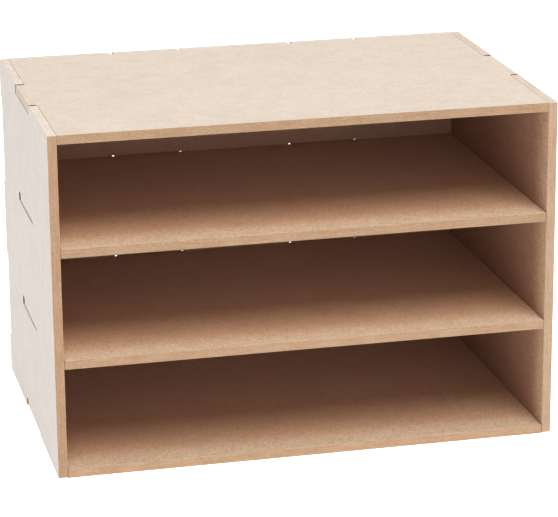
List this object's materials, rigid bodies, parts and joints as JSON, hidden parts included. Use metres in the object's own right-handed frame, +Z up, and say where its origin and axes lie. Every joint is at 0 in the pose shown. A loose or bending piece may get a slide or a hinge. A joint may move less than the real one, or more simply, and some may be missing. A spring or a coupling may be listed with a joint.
{
  "type": "paint rack organizer",
  "caption": "Open-front shelf module for hobby paints: stacked full-width bays between side panels and a closed rear, in flat-pack MDF held by tab-and-slot joints.",
  "frame": {"origin": "centre of the footprint, on the surface the rack stands on", "axes": "+X along the width to the right seen from the open front, +Y from the open front to the closed rear, +Z up"},
  "size_m": [0.33, 0.218, 0.226],
  "materials": {
    "left_side": "matt raw MDF, cut edges darker",
    "right_side": "matt raw MDF, cut edges darker",
    "top_panel": "matt raw MDF, cut edges darker",
    "upper_shelf": "matt raw MDF, cut edges darker",
    "lower_shelf": "matt raw MDF, cut edges darker",
    "bottom_panel": "matt raw MDF, cut edges darker",
    "rear_panel": "matt raw MDF, cut edges darker"
  },
  "bodies": {
    "root": {"left_side": "left_side", "right_side": "right_side", "top_panel": "top_panel", "upper_shelf": "upper_shelf", "lower_shelf": "lower_shelf", "bottom_panel": "bottom_panel", "rear_panel": "rear_panel"}
  },
  "joints": []
}
